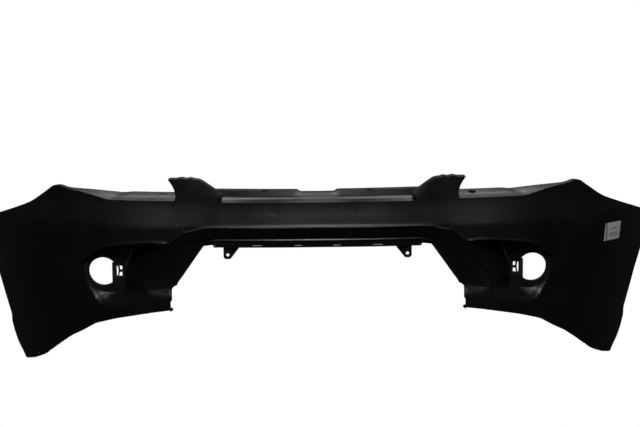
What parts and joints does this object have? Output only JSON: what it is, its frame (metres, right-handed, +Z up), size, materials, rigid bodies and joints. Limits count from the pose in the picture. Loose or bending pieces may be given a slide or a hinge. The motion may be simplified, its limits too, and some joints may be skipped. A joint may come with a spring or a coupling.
{
  "type": "front bumper cover",
  "caption": "Moulded front bumper cover with fog lamp recesses, open lower middle, raised horns on its top flange, hanging tabs, brackets, rails, screws and push-in retainers.",
  "frame": {"origin": "midway between the two fixing holes in the top flange, on the flange's upper face", "axes": "+X across the car to the right as seen from the front, -Y towards the front of the car, +Z up"},
  "size_m": [1.768, 0.6089, 0.4932],
  "materials": {
    "cover_plastic": "moulded black polypropylene, satin",
    "label_paper": "matt printed paper",
    "bracket_plastic": "moulded glass-filled nylon, matt",
    "screw_zinc": "zinc-plated steel",
    "clip_nylon": "natural nylon",
    "retainer_nylon": "black nylon, semi-gloss"
  },
  "bodies": {
    "cover": {"cover_skin": "cover_plastic", "label": "label_paper", "fog_bracket_left": "bracket_plastic", "fog_bracket_right": "bracket_plastic", "fog_screw_left_upper": "screw_zinc", "fog_screw_left_lower": "screw_zinc", "fog_screw_left_outer": "screw_zinc", "fog_screw_right_upper": "screw_zinc", "fog_screw_right_lower": "screw_zinc", "fog_screw_right_outer": "screw_zinc", "side_rail_left": "bracket_plastic", "side_rail_right": "bracket_plastic", "rail_clip_left_front": "clip_nylon", "rail_clip_left_middle": "clip_nylon", "rail_clip_left_rear": "clip_nylon", "rail_clip_right_front": "clip_nylon", "rail_clip_right_middle": "clip_nylon", "rail_clip_right_rear": "clip_nylon", "retainer_body_left": "retainer_nylon", "retainer_body_right": "retainer_nylon"},
    "pin_left": {"retainer_pin_left": "retainer_nylon"},
    "pin_right": {"retainer_pin_right": "retainer_nylon"}
  },
  "joints": [
    {"name": "pin_lift_left", "type": "slide", "parent": "cover", "child": "pin_left", "axis": [0, 0, 1], "range_m": [0, 0.006]},
    {"name": "pin_lift_right", "type": "slide", "parent": "cover", "child": "pin_right", "axis": [0, 0, 1], "range_m": [0, 0.006]}
  ]
}
